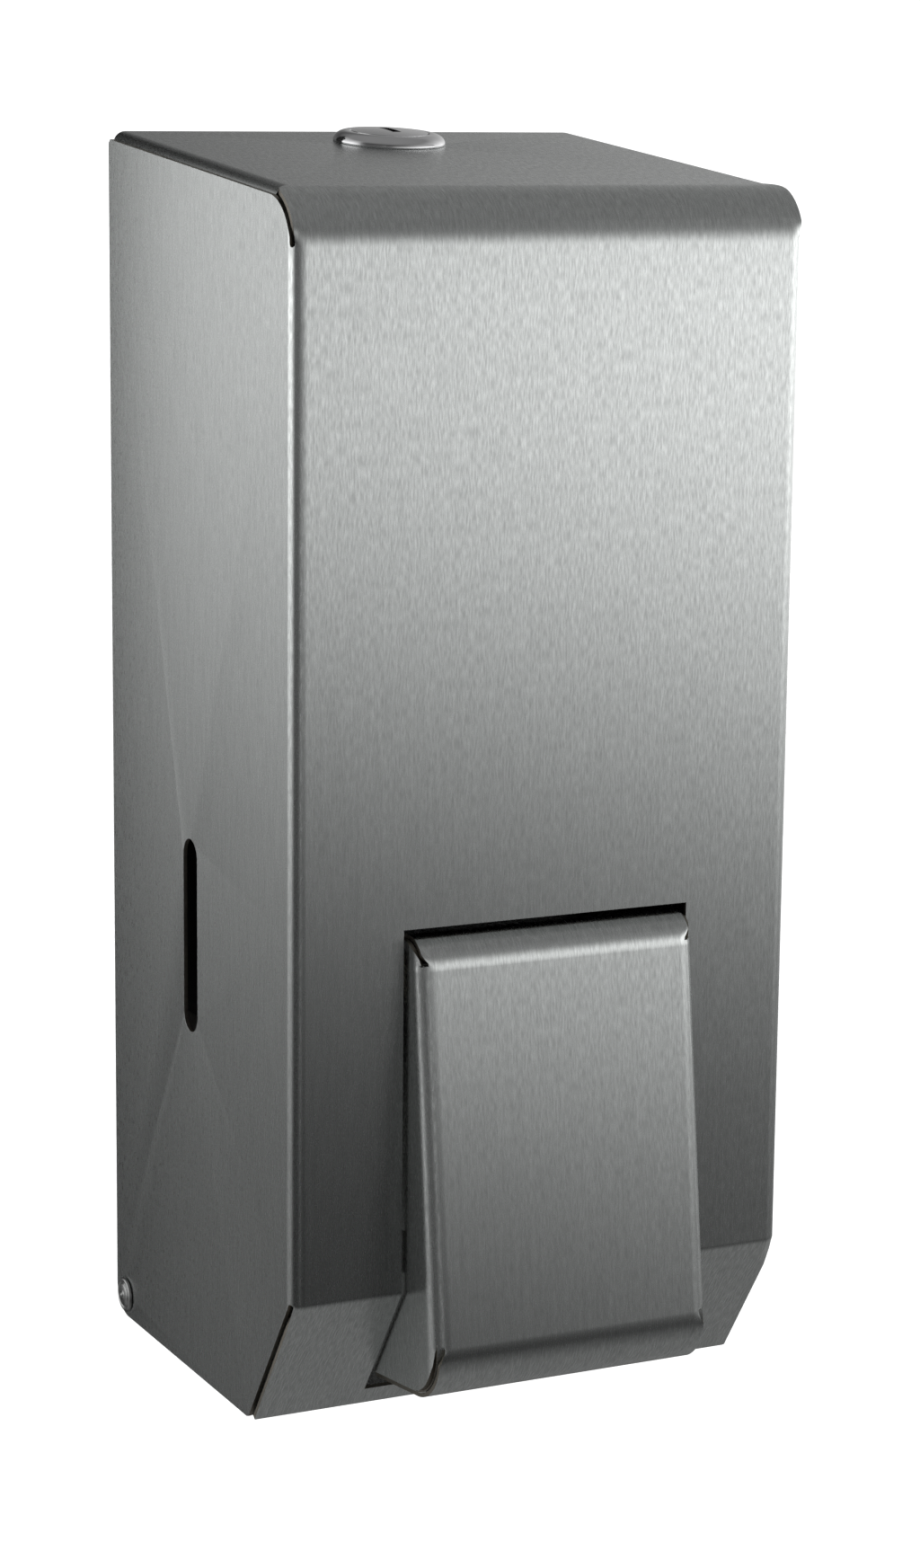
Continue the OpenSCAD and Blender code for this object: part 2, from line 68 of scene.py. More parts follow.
TOP_FALL = math.atan(0.1)                # slope of the top
BROW_R = 13.0                            # bend between the top and the front
BROW_F = FRONT_F - BROW_R
EDGE_R = 3.2                             # upright bends between front and sides
CHAMFER_H = 33.5                         # slanted lower panel
CHAMFER_D = 23.0
CREASE_R = 3.0
HEM_R = 1.2
HEM_D = 17.0
HEEL_R = 7.5
STRIP_GAP = 0.2                          # from a side's outside to the cut edge of the bend to the top
CHAMFER_GAP = 0.45                       # the same for the slanted panel
SIDE_RECESS = 2.5                        # from the slanted panel back to the sides' slanted edges
SIDE_BROW_R = 12.5                       # rounding of the side's upper front corner
SIDE_BROW_BACK = 1.35                    # its centre stands this far behind the brow's
SIDE_DROP = 1.7                          # from the top surface down to the side's upper edge
WINDOW_X = 35.7
WINDOW_TOP = 117.8
WINDOW_BOTTOM = 4.7
SLOT_F, SLOT_Z, SLOT_W, SLOT_L = 51.0, 106.25, 8.4, 46.0
HINGE_F, HINGE_Z, HINGE_R = 7.5, 5.5, 2.6
LOCK_F, LOCK_R = 23.5, 9.6

LEVER_F, LEVER_Z = 116.3, 117.2          # top edge of the lever's face
LEVER_TILT = math.radians(6.75)
LEVER_L = 105.5
LEVER_X = 35.0
LEVER_EDGE_R = 4.2
FLANGE_DROP = 1.7                        # from the underside up to the flanges' lower edges
LEVER_GAP = 1.3                          # from a flange's outside to the end strips' cut edges
LEVER_TOP_R, LEVER_BOTTOM_R = 8.0, 13.0
LEVER_TOP_D, LEVER_BOTTOM_D = 22.0, 38.0
PIVOT_F, PIVOT_Z = 101.6, 105.4


def spot(x, f, z):
    """A point x across, f out from the wall and z above the cover's bottom, in metres."""
    return Vector((x, -f, z + BASE_Z)) * MM


def on_cover(x, b, u):
    """A point b back from the front face and u above the bottom."""
    return spot(x, FRONT_F - b, u)


def on_lever(x, b, u):
    """A point b back from the lever's face and u above its top edge."""
    s, c = math.sin(LEVER_TILT), math.cos(LEVER_TILT)
    return spot(x, LEVER_F - b * c - u * s, LEVER_Z + u * c - b * s)


def arc(centre, radius, start, end, steps):
    """Points on an arc, with angles in degrees from the first axis."""
    turn = [math.radians(start + (end - start) * i / steps) for i in range(steps + 1)]
    return [(centre[0] + radius * math.cos(a), centre[1] + radius * math.sin(a)) for a in turn]


# ---------- folded sheet ----------

JOIN_STEPS = 4


def bend_columns(join, *slit_ends):
    """Angles round an upright bend, past where the end strips part from it. Slits end at some of them."""
    found = {90.0}
    for end in slit_ends:
        found |= {join + (end - join) * i / 6 for i in range(1, 7)}
    last = max(slit_ends)
    found |= {last + (90 - last) * i / 4 for i in range(1, 4)}
    kept = sorted(slit_ends)
    for angle in sorted(found):
        if all(abs(angle - k) > 1.0 for k in kept):
            kept.append(angle)
    return sorted(kept)


class Sheet:
    """One folded sheet: its outside as a mesh, unfolded into a UV map across and along the grain."""

    def __init__(self, name, place):
        self.name, self.place = name, place
        self.bm = bmesh.new()
        self.uv = self.bm.loops.layers.uv.new("Grain")
        self.at = {}

    def vert(self, x, b, u, across, along):
        p = self.place(x, b, u)
        v = self.bm.verts.new(p)
        self.at[v] = (across * MM, along * MM)
        return v

    def face(self, verts, out):
        """A face whose normal goes with the outward direction."""
        f = self.bm.faces.new(verts)
        f.normal_update()
        if f.normal.dot(out) < 0:
            f.normal_flip()
        for loop in f.loops:
            loop[self.uv].uv = self.at[loop.vert]
        return f

    def panel(self, outline, holes, out):
        """A flat panel with holes. Each is a loop of verts."""
        edges = []
        for ring in [outline] + holes:
            for i, v in enumerate(ring):
                w = ring[(i + 1) % len(ring)]
                edges.append(self.bm.edges.get((v, w)) or self.bm.edges.new((v, w)))
        made = bmesh.ops.triangle_fill(self.bm, edges=edges, use_beauty=True, use_dissolve=False,
                                       normal=out)["geom"]
        for f in made:
            if isinstance(f, bmesh.types.BMFace):
                if f.normal.dot(out) < 0:
                    f.normal_flip()
                for loop in f.loops:
                    loop[self.uv].uv = self.at[loop.vert]

    def finish(self, materials, thickness, bevel):
        bmesh.ops.remove_doubles(self.bm, verts=self.bm.verts, dist=1e-7)
        loose = [v for v in self.bm.verts if not v.link_faces]
        bmesh.ops.delete(self.bm, geom=loose, context="VERTS")
        mesh = bpy.data.meshes.new(self.name)
        self.bm.to_mesh(mesh)
        self.bm.free()
        for m in materials:
            mesh.materials.append(m)
        mesh.shade_smooth()
        piece = bpy.data.objects.new(self.name, mesh)
        bpy.context.scene.collection.objects.link(piece)
        solid = piece.modifiers.new("thickness", "SOLIDIFY")
        solid.thickness = thickness * MM
        solid.offset = -1
        solid.use_even_offset = True
        solid.material_offset_rim = 1
        soften(piece, bevel)
        return piece


def soften(piece, width, segments=2, angle=50):
    """Rounds the edges a little and keeps the flats flat."""
    bevel = piece.modifiers.new("edges", "BEVEL")
    bevel.width = width * MM
    bevel.segments = segments
    bevel.limit_method = "ANGLE"
    bevel.angle_limit = math.radians(angle)
    bevel.use_clamp_overlap = True
    normals = piece.modifiers.new("normals", "WEIGHTED_NORMAL")
    normals.weight = 100
    normals.keep_sharp = False


class Row:
    """One line across the folded sheet, at b, u in the side view, with its outward normal."""

    def __init__(self, b, u, nb, nu, fade=0.0, strip=None):
        self.b, self.u, self.nb, self.nu = b, u, nb, nu
        self.fade = fade                 # 1 where the sides' bends join on, 0 where the edge is cut
        self.strip = strip               # half width of the cut edge, where it isn't the usual one
        self.s = 0.0


def arc_rows(centre, radius, start, end, steps, fade):
    """Rows round a bend. Angles run from 0, facing front, to 90, facing up."""
    rows = []
    for i in range(steps + 1):
        a = math.radians(start + (end - start) * i / steps)
        nb, nu = -math.cos(a), math.sin(a)
        rows.append(Row(centre[0] + radius * nb, centre[1] + radius * nu, nb, nu, fade(i / steps)))
    return rows


class Tray:
    """The strip that runs over the top, down the front and under, and the bends to the two sides."""

    def __init__(self, sheet, rows, joined, half_w, bend_r, strip_x, join, window=None):
        self.sheet, self.rows, self.joined = sheet, rows, joined
        self.join = join                 # how far round the upright bend the end strips stay joined
        self.half_w, self.bend_r, self.strip_x = half_w, bend_r, strip_x
        self.flat_x = half_w - bend_r
        for low, high in zip(rows, rows[1:]):
            high.s = low.s + math.hypot(high.b - low.b, high.u - low.u)
        self.window = window
        self.build_strip()

    def bend(self, theta):
        """How far out and how far back the upright bend has gone at an angle."""
        a = math.radians(theta)
        return self.flat_x + self.bend_r * math.sin(a), self.bend_r * (1 - math.cos(a))

    def edge_vert(self, row, theta, side, strip_share):
        bent_x, bent_in = self.bend(theta)
        cut_x = self.flat_x + ((row.strip or self.strip_x) - self.flat_x) * strip_share
        x = cut_x + (bent_x - cut_x) * row.fade
        back = bent_in * row.fade
        across = self.flat_x + self.bend_r * math.radians(theta)
        return self.sheet.vert(side * x, row.b - row.nb * back, row.u - row.nu * back,
                               side * across, row.s)

    def build_strip(self):
        """The strip's grid, with the window left out."""
        grid = []
        for row in self.rows:
            inner = [self.window[0]] if self.window else []
            half = [self.sheet.vert(x, row.b, row.u, x, row.s) for x in inner + [self.flat_x]]
            other = [self.sheet.vert(-x, row.b, row.u, -x, row.s) for x in inner + [self.flat_x]]
            for i in range(1, JOIN_STEPS + 1):
                share = i / JOIN_STEPS
                half.append(self.edge_vert(row, self.join * share, 1, share))
                other.append(self.edge_vert(row, self.join * share, -1, share))
            grid.append(other[::-1] + half)
        self.grid = grid
        middle = len(grid[0]) // 2 - 1
        for i, (low, high) in enumerate(zip(self.rows, self.rows[1:])):
            out = self.out(low, high)
            for j in range(len(grid[0]) - 1):
                if self.window and j == middle and self.window[1] <= i < self.window[2]:
                    continue
                self.sheet.face([grid[i][j], grid[i][j + 1], grid[i + 1][j + 1], grid[i + 1][j]], out)

    def out(self, low, high):
        zero = self.sheet.place(0, 0, 0)
        return self.sheet.place(0, low.nb + high.nb, low.nu + high.nu) - zero

    def side(self, side, below, above):
        """The upright bend on one side. below and above list (angle where the slit's far edge
        starts, slit depth, end) for each end. Returns the verts along the side panel's edge."""
        first, last = self.joined
        rows = self.rows[first:last + 1]
        rim = [line[0 if side < 0 else -1] for line in self.grid]
        previous = rim[first:last + 1]
        chains = (rim[first:first - 2:-1], rim[last:last + 2])
        for theta in bend_columns(self.join, below[0], above[0]):
            x, back = self.bend(theta)
            across = side * (self.flat_x + self.bend_r * math.radians(theta))
            column = [self.sheet.vert(side * x, r.b - r.nb * back, r.u - r.nu * back, across, r.s)
                      for r in rows]
            new_chains = []
            for end, row, anchor in ((below, rows[0], column[0]), (above, rows[-1], column[-1])):
                chain = [anchor]
                far, depth, height, level = end
                to = 1 if end is above else -1
                if theta <= far:
                    swing = (2 * theta - self.join - far) / (far - self.join)
                    dip = depth * math.sqrt(max(0.0, 1 - swing * swing))
                    chain.append(self.down(row, side * x, back, across, level - to * dip))
                else:
                    chain.append(self.down(row, side * x, back, across, level))
                if theta >= far:
                    chain.append(self.down(row, side * x, back, across, height(row.b + back)))
                new_chains.append(chain)
            facing = math.radians(theta)
            out = self.sheet.place(side * math.sin(facing), -math.cos(facing), 0)
            out -= self.sheet.place(0, 0, 0)
            for i in range(len(rows) - 1):
                self.sheet.face([previous[i], column[i], column[i + 1], previous[i + 1]], out)
            for old, new in zip(chains, new_chains):
                for i in range(min(len(old), len(new)) - 1):
                    self.sheet.face([old[i], old[i + 1], new[i + 1], new[i]], out)
            previous, chains = column, new_chains
        return chains[0][:0:-1] + previous + chains[1][1:]

    def down(self, row, x, back, across, u):
        """A vert of the upright bend past its last row, at height u."""
        return self.sheet.vert(x, row.b - row.nb * back, u, across, row.s + (u - row.u))


# ---------- materials ----------

def new_material(name):
    m = bpy.data.materials.new(name)
    m.use_nodes = True
    return m, m.node_tree.nodes, m.node_tree.links, m.node_tree.nodes["Principled BSDF"]


def stretched(nodes, links, source, scale, kind="ShaderNodeTexNoise", detail=3.0):
    """A noise stretched by scale = (x, y, z), on the source's coordinates."""
    mapping = nodes.new("ShaderNodeMapping")
    mapping.inputs["Scale"].default_value = scale
    noise = nodes.new(kind)
    noise.inputs["Scale"].default_value = 1.0
    noise.inputs["Detail"].default_value = detail
    links.new(source, mapping.inputs["Vector"])
    links.new(mapping.outputs["Vector"], noise.inputs["Vector"])
    return noise.outputs["Fac"]


def spread(nodes, links, value, low, high, span=(0.3, 0.7)):
    """Maps a noise to the range low to high."""
    m = nodes.new("ShaderNodeMapRange")
    m.inputs["From Min"].default_value, m.inputs["From Max"].default_value = span
    m.inputs["To Min"].default_value, m.inputs["To Max"].default_value = low, high
    links.new(value, m.inputs["Value"])
    return m.outputs["Result"]


def times(nodes, links, a, b):
    n = nodes.new("ShaderNodeMath")
    n.operation = "MULTIPLY"
    links.new(a, n.inputs[0])
    if isinstance(b, float):
        n.inputs[1].default_value = b
    else:
        links.new(b, n.inputs[1])
    return n.outputs["Value"]


def tinted(nodes, links, colour, factor):
    """The colour times a factor that varies over the surface."""
    n = nodes.new("ShaderNodeVectorMath")
    n.operation = "SCALE"
    n.inputs[0].default_value = colour
    links.new(factor, n.inputs["Scale"])
    return n.outputs["Vector"]


def bumped(nodes, links, height, distance, strength=0.3):
    n = nodes.new("ShaderNodeBump")
    n.inputs["Strength"].default_value = strength
    n.inputs["Distance"].default_value = distance * MM
    links.new(height, n.inputs["Height"])
    return n.outputs["Normal"]


def brushed_sheet(name, colour, roughness, streak=0.17):
    """Stainless sheet with a fine grain along the UV map's second axis."""
    m, nodes, links, shader = new_material(name)
    uv = nodes.new("ShaderNodeUVMap")
    uv.uv_map = "Grain"
    fine = stretched(nodes, links, uv.outputs["UV"], (2600, 380, 1))
    broad = stretched(nodes, links, uv.outputs["UV"], (900, 70, 1))
    shade = times(nodes, links, spread(nodes, links, fine, 1 - streak, 1 + streak),
                  spread(nodes, links, broad, 1 - streak / 3, 1 + streak / 3))
    links.new(tinted(nodes, links, colour, shade), shader.inputs["Base Color"])
    links.new(spread(nodes, links, fine, roughness + 0.04, roughness - 0.04), shader.inputs["Roughness"])
    links.new(bumped(nodes, links, fine, 0.01, 0.25), shader.inputs["Normal"])
    shader.inputs["Metallic"].default_value = 1.0
    shader.inputs["Anisotropic"].default_value = 0.6
    tangent = nodes.new("ShaderNodeTangent")
    tangent.direction_type = "UV_MAP"
    tangent.uv_map = "Grain"
    links.new(tangent.outputs["Tangent"], shader.inputs["Tangent"])
    return m


def plain_metal(name, colour, roughness, scale=(900, 900, 900), vary=0.06, bump=0.004):
    """Plated, turned or cut metal with a fine even texture."""
    m, nodes, links, shader = new_material(name)
    place = nodes.new("ShaderNodeTexCoord").outputs["Object"]
    grain = stretched(nodes, links, place, scale)
    smudge = stretched(nodes, links, place, (60, 60, 60))
    shade = times(nodes, links, spread(nodes, links, grain, 1 - vary, 1 + vary),
                  spread(nodes, links, smudge, 1 - vary, 1 + vary / 2))
    links.new(tinted(nodes, links, colour, shade), shader.inputs["Base Color"])
    gloss = spread(nodes, links, smudge, roughness * 0.85, roughness * 1.15)
    links.new(gloss, shader.inputs["Roughness"])
    links.new(bumped(nodes, links, grain, bump), shader.inputs["Normal"])
    shader.inputs["Metallic"].default_value = 1.0
    return m


def moulded(name, colour, roughness, texture=1400, bump=0.02, coat=0.0, see_through=0.0):
    """Moulded plastic or rubber: a fine texture, and slow variation of shade and gloss."""
    m, nodes, links, shader = new_material(name)
    place = nodes.new("ShaderNodeTexCoord").outputs["Object"]
    grain = stretched(nodes, links, place, (texture,) * 3)
    smudge = stretched(nodes, links, place, (45, 45, 45))
    shade = times(nodes, links, spread(nodes, links, grain, 0.95, 1.05),
                  spread(nodes, links, smudge, 0.93, 1.05))
    links.new(tinted(nodes, links, colour, shade), shader.inputs["Base Color"])
    gloss = spread(nodes, links, smudge, roughness * 0.85, roughness * 1.15)
    links.new(gloss, shader.inputs["Roughness"])
    links.new(bumped(nodes, links, grain, bump), shader.inputs["Normal"])
    shader.inputs["Coat Weight"].default_value = coat
    shader.inputs["Transmission Weight"].default_value = see_through
    return m


STEEL = (0.594, 0.612, 0.604)
cover_steel = brushed_sheet("brushed_cover", STEEL, 0.28)
lever_steel = brushed_sheet("brushed_lever", STEEL, 0.28)
cut_edge = plain_metal("cut_edge", (0.27, 0.25, 0.215), 0.50, (500, 500, 1500), 0.12)
plate_steel = plain_metal("plate_steel", (0.55, 0.55, 0.54), 0.38, (1500, 1500, 60), 0.07)
chrome = plain_metal("chrome", (0.80, 0.80, 0.81), 0.10, (300, 300, 300), 0.02, 0.001)
zinc = plain_metal("zinc", (0.60, 0.60, 0.56), 0.40)
pin_steel = plain_metal("pin_steel", (0.62, 0.62, 0.61), 0.28, (1200, 1200, 1200), 0.05)
rivet_steel = plain_metal("rivet_steel", (0.36, 0.365, 0.36), 0.34, (1200, 1200, 1200), 0.08)
smoke_plastic = moulded("smoke_plastic", (0.025, 0.026, 0.028), 0.22, 500, 0.006, 0.3, 0.35)
black_plastic = moulded("black_plastic", (0.03, 0.03, 0.03), 0.45)
white_plastic = moulded("white_plastic", (0.72, 0.72, 0.70), 0.32, 700, 0.01)
ivory_plastic = moulded("ivory_plastic", (0.74, 0.69, 0.57), 0.42, 900, 0.015)
rubber = moulded("rubber", (0.03, 0.03, 0.03), 0.75, 1000, 0.03)
silicone = moulded("silicone", (0.42, 0.06, 0.04), 0.40, 800, 0.01)
SLOT_MATERIALS = {
    "cover_steel": cover_steel, "lever_steel": lever_steel, "plate_steel": plate_steel,
    "chrome": chrome, "zinc": zinc, "pin_steel": pin_steel, "smoke_plastic": smoke_plastic,
    "black_plastic": black_plastic, "white_plastic": white_plastic,
    "ivory_plastic": ivory_plastic, "rubber": rubber, "silicone": silicone,
}


# ---------- cover ----------

def mitre(radius, turn):
    """From a corner to where its bend starts, for a turn in radians."""
    return radius * math.tan(turn / 2)


def cover_rows():
    """The cover's side view from the hem's inner edge round to the top."""
    lean = math.atan2(CHAMFER_D, CHAMFER_H)              # the slanted panel's angle to the upright
    slant = (-math.sin(lean), math.cos(lean))            # up the slanted panel, as (b, u)
    facing = (-math.cos(lean), -math.sin(lean))
    corner = (CHAMFER_D, 0.0)                            # where the slanted panel meets the bottom
    hem_turn = math.pi / 2 - lean
    t = mitre(HEM_R, hem_turn)
    strip = HALF_W - CHAMFER_GAP
    hem_x = strip - 1.0
    rows = [Row(corner[0] + HEM_D, 0, 0, -1, 0, hem_x)]
    low = math.degrees(lean)
    rows += arc_rows((corner[0] + t, HEM_R), HEM_R, -90, -low, 5, lambda k: 0.0)
    for i, row in enumerate(rows[1:]):
        row.strip = hem_x + math.sin(math.pi / 2 * i / 5)
    reach = WINDOW_BOTTOM / CHAMFER_H * CHAMFER_D
    rows.append(Row(corner[0] - reach, WINDOW_BOTTOM, *facing, 0, strip))
    window_start = len(rows) - 1
    t = mitre(CREASE_R, lean)
    for back in (8.0, 5.0, 2.5):
        rows.append(Row(-slant[0] * (t + back), CHAMFER_H - slant[1] * (t + back), *facing,
                        0.8 - back / 10, strip))
    crease = arc_rows((CREASE_R, CHAMFER_H + t), CREASE_R, -low, 0, 6, lambda k: 1.0)
    rows += crease
    brow_z = COVER_H - math.tan(TOP_FALL) * (BROW_F - REAR_F + BROW_R * math.sin(TOP_FALL)) \
        - BROW_R * math.cos(TOP_FALL)
    joined = [len(rows) - 1]
    rows.append(Row(0, WINDOW_TOP, -1, 0, 1.0))
    window_end = len(rows) - 1
    rows += arc_rows((BROW_R, brow_z), BROW_R, 0, 90 - math.degrees(TOP_FALL), 22,
                     lambda k: min(1.0, max(0.0, 1.25 - 5 * k)))
    for row, narrow in zip(rows[-1:-6:-1], (2.4, 1.4, 0.7, 0.3, 0.1)):
        row.strip = HALF_W - STRIP_GAP - narrow      # rounded off where the side's slit ends
    joined.append(window_end + 1)
    return rows, joined, (WINDOW_X, window_start, window_end), brow_z


def build_cover():
    sheet = Sheet("cover_sheet", on_cover)
    rows, joined, window, brow_z = cover_rows()
    tray = Tray(sheet, rows, joined, HALF_W, EDGE_R, HALF_W - STRIP_GAP, 48.0, window)
    slope = CHAMFER_H / CHAMFER_D
    corner = (BROW_R + SIDE_BROW_BACK, brow_z + BROW_R - SIDE_DROP - SIDE_BROW_R)
    above = (76.0, 0.8,
             lambda b: corner[1] + math.sqrt(max(0.0, SIDE_BROW_R ** 2 - (corner[0] - b) ** 2)),
             brow_z + 1.2)
    for side in (-1, 1):
        below = (80.0, 0.8, lambda b: CHAMFER_H - (b - SIDE_RECESS) * slope, CHAMFER_H)
        edge = tray.side(side, below, above)
        cover_side(sheet, tray, side, edge, corner)
        corner_tab(sheet, side)
    cover_top(sheet, tray, rows[-1])
    return sheet.finish([cover_steel, cut_edge], SHEET, 0.13)


def side_vert(sheet, tray, side, b, u, half_w):
    """A vert on a side panel, unfolded beside the upright bend."""
    across = tray.flat_x + tray.bend_r * math.pi / 2 + (b - tray.bend_r)
    rows = tray.rows
    first = tray.joined[0]
    return sheet.vert(side * half_w, b, u, side * across, rows[first].s + u - rows[first].u)


def cover_side(sheet, tray, side, edge, corner):
    """One side panel, from the upright bend back to the rear edge."""
    depth = FRONT_F - REAR_F
    normal_angle = 90 - math.degrees(TOP_FALL)
    start = math.degrees(math.acos((corner[0] - EDGE_R) / SIDE_BROW_R))
    brow = arc((0, 0), SIDE_BROW_R, start, normal_angle, 14)[1:]
    points = [(corner[0] - p, corner[1] + q) for p, q in brow]
    rear_top = points[-1][1] + math.tan(TOP_FALL) * (depth - points[-1][0])
    points += [(depth - 1.0, rear_top - 0.1)] + [(depth, rear_top - 1.0)]
    points += [(depth - HEEL_R + p, HEEL_R + q) for p, q in arc((0, 0), HEEL_R, 0, -90, 12)]
    toe = CHAMFER_D + SIDE_RECESS
    points += [(toe + 0.9, 0.0), (toe + 0.1, 0.25), (toe - 0.4, 0.75)]
    outline = edge + [side_vert(sheet, tray, side, b, u, HALF_W) for b, u in points]
    holes = [[side_vert(sheet, tray, side, b, u, HALF_W)
              for b, u in arc((FRONT_F - HINGE_F, HINGE_Z), HINGE_R, 0, 345, 23)]]
    if side < 0:
        reach = (SLOT_L - SLOT_W) / 2
        b = FRONT_F - SLOT_F
        rim = arc((b, SLOT_Z + reach), SLOT_W / 2, 0, 180, 16)
        rim += arc((b, SLOT_Z - reach), SLOT_W / 2, 180, 360, 16)
        holes.append([side_vert(sheet, tray, side, b, u, HALF_W) for b, u in rim])
    sheet.panel(outline, holes, Vector((side, 0, 0)))


def corner_tab(sheet, side):
    """A strip welded behind the slit between the slanted panel and the side."""
    lean = math.atan2(CHAMFER_D, CHAMFER_H)
    behind = 2.6
    shift = (behind * math.cos(lean), behind * math.sin(lean))
    rise = CHAMFER_D / CHAMFER_H
    ends = [(CHAMFER_D - rise * u + shift[0], u + shift[1]) for u in (-0.9, CHAMFER_H + 1.0)]
    outer, inner = HALF_W - SHEET - 0.05, HALF_W - 11.0
    verts = [sheet.vert(side * x, b, u, side * x, u) for x, (b, u) in
             ((inner, ends[0]), (outer, ends[0]), (outer, ends[1]), (inner, ends[1]))]
    sheet.face(verts, Vector((0, -math.cos(lean), -math.sin(lean))))


TOP_BEND_X = 58.3
TOP_BEND_R = 3.0
TOP_FLANGE = 8.0


def cover_top(sheet, tray, last):
    """The sloping top with the lock's hole, and its narrow side flanges inside the side panels."""
    grid_row = tray.grid[-1]
    depth = FRONT_F - REAR_F
    rise = math.tan(TOP_FALL)
    relief_b = last.b + 0.9

    def top_vert(x, b, drop=0.0, across=None):
        along = last.s + math.hypot(b - last.b, rise * (b - last.b))
        u = last.u + rise * (b - last.b)
        shift = drop * math.sin(TOP_FALL)
        return sheet.vert(x, min(b + shift, depth), u - drop * math.cos(TOP_FALL),
                          x if across is None else across, along)

    hole_b = FRONT_F - LOCK_F
    hole = [top_vert(LOCK_R * math.cos(a), hole_b + LOCK_R * math.sin(a))
            for a in (math.radians(7.5 * i) for i in range(48))]
    right = [top_vert(TOP_BEND_X, relief_b)]
    left = [top_vert(-TOP_BEND_X, relief_b)]
    right_rear, left_rear = top_vert(TOP_BEND_X, depth), top_vert(-TOP_BEND_X, depth)
    out = tray.out(last, last)
    sheet.panel(grid_row + right + [right_rear, left_rear] + left[::-1], [hole], out)
    for side, front, rear in ((1, right[-1], right_rear), (-1, left[-1], left_rear)):
        old = (front, rear)
        steps = 7
        for i in range(1, steps + 2):
            a = math.radians(90 * min(i, steps) / steps)
            x = TOP_BEND_X + TOP_BEND_R * math.sin(a)
            drop = TOP_BEND_R * (1 - math.cos(a)) + (TOP_FLANGE if i > steps else 0.0)
            across = TOP_BEND_X + TOP_BEND_R * a + (TOP_FLANGE if i > steps else 0.0)
            new = (top_vert(side * x, relief_b, drop, side * across),
                   top_vert(side * x, depth, drop, side * across))
            sheet.face([old[0], old[1], new[1], new[0]], Vector((side * math.sin(a), 0, 0.2)))
            old = new


# ---------- push lever ----------

def lever_rows():
    """The lever's side view from the bottom's rear edge round to the top's rear edge."""
    low = -LEVER_L
    rows = [Row(LEVER_BOTTOM_D - 2, low, 0, -1, 0)]
    rows += arc_rows((LEVER_BOTTOM_R, low + LEVER_BOTTOM_R), LEVER_BOTTOM_R, -90, 0, 20,
                     lambda k: max(0.0, 5 * k - 4))
    first = len(rows) - 1
    top = arc_rows((LEVER_TOP_R, -LEVER_TOP_R), LEVER_TOP_R, 0, 90, 18,
                   lambda k: min(1.0, max(0.0, 1 - 5 * (k - 0.12))))
    rows += top
    last = first + 3
    rows.append(Row(LEVER_TOP_D, 0, 0, 1, 0))
    return rows, (first, last)


def build_lever():
    sheet = Sheet("lever_sheet", on_lever)
    rows, joined = lever_rows()
    tray = Tray(sheet, rows, joined, LEVER_X, LEVER_EDGE_R, LEVER_X - LEVER_GAP, 17.0)
    low = -LEVER_L + LEVER_BOTTOM_R
    bottom_r, top_r = LEVER_BOTTOM_R - FLANGE_DROP, LEVER_TOP_R - 1.0
    join_u = rows[joined[1]].u
    below = (38.0, 0.6, lambda b: low - math.sqrt(max(0.0, bottom_r ** 2 - (LEVER_BOTTOM_R - b) ** 2)),
             low - 0.1)
    above = (38.0, 0.5, lambda b: -LEVER_TOP_R + math.sqrt(max(0.0, top_r ** 2 - (LEVER_TOP_R - b) ** 2)),
             join_u + 0.2)
    for side in (-1, 1):
        edge = tray.side(side, below, above)
        lever_flange(sheet, tray, side, edge, bottom_r, top_r)
        lever_tab(sheet, side)
    stop_tabs(sheet)
    return sheet.finish([lever_steel, cut_edge], SHEET, 0.13)


def lever_flange(sheet, tray, side, edge, bottom_r, top_r):
    """One side flange, with the bush hole and the opening that the stop tab is bent out of."""
    low = -LEVER_L
    start = math.degrees(math.acos((LEVER_TOP_R - LEVER_EDGE_R) / top_r))
    points = [(LEVER_TOP_R - p, -LEVER_TOP_R + q)
              for p, q in arc((0, 0), top_r, start, 90, 10)[1:]]
    points += [(LEVER_TOP_D, -0.5), (LEVER_TOP_D, -24.0), (LEVER_BOTTOM_D, low + 30),
               (LEVER_BOTTOM_D, low + FLANGE_DROP)]
    end = math.degrees(math.acos((LEVER_BOTTOM_R - LEVER_EDGE_R) / bottom_r))
    points += [(LEVER_BOTTOM_R - p, low + LEVER_BOTTOM_R - q)
               for p, q in arc((0, 0), bottom_r, 90, end, 12)[:-1]]
    outline = edge + [side_vert(sheet, tray, side, b, u, LEVER_X) for b, u in points]
    pivot = lever_local(PIVOT_F, PIVOT_Z)
    holes = [[side_vert(sheet, tray, side, b, u, LEVER_X)
              for b, u in arc(pivot, 4.05, 0, 345, 23)]]
    holes.append([side_vert(sheet, tray, side, *lever_local(f, z), LEVER_X)
                  for f, z in ((103.3, 38.0), (108.4, 38.0), (108.4, 48.0), (103.3, 48.0))])
    sheet.panel(outline, holes, Vector((side, 0, 0)))


def lever_tab(sheet, side):
    """A curved strip inside the bottom bend, behind its slit."""
    radius = LEVER_BOTTOM_R - SHEET - 0.15
    centre = (LEVER_BOTTOM_R, LEVER_BOTTOM_R - LEVER_L)
    old = None
    for i in range(11):
        a = math.radians(-85 + 9 * i)
        b, u = centre[0] - radius * math.cos(a), centre[1] + radius * math.sin(a)
        new = [sheet.vert(side * x, b, u, side * x, radius * a)
               for x in (LEVER_X - 9.0, LEVER_X - SHEET - 0.1)]
        if old:
            out = on_lever(0, -math.cos(a), math.sin(a)) - on_lever(0, 0, 0)
            sheet.face([old[0], old[1], new[1], new[0]], out)
        old = new


def lever_local(f, z):
    """Back and up in the lever's frame, for a point given by f and z."""
    s, c = math.sin(LEVER_TILT), math.cos(LEVER_TILT)
    df, dz = LEVER_F - f, z - LEVER_Z
    return df * c - dz * s, dz * c + df * s


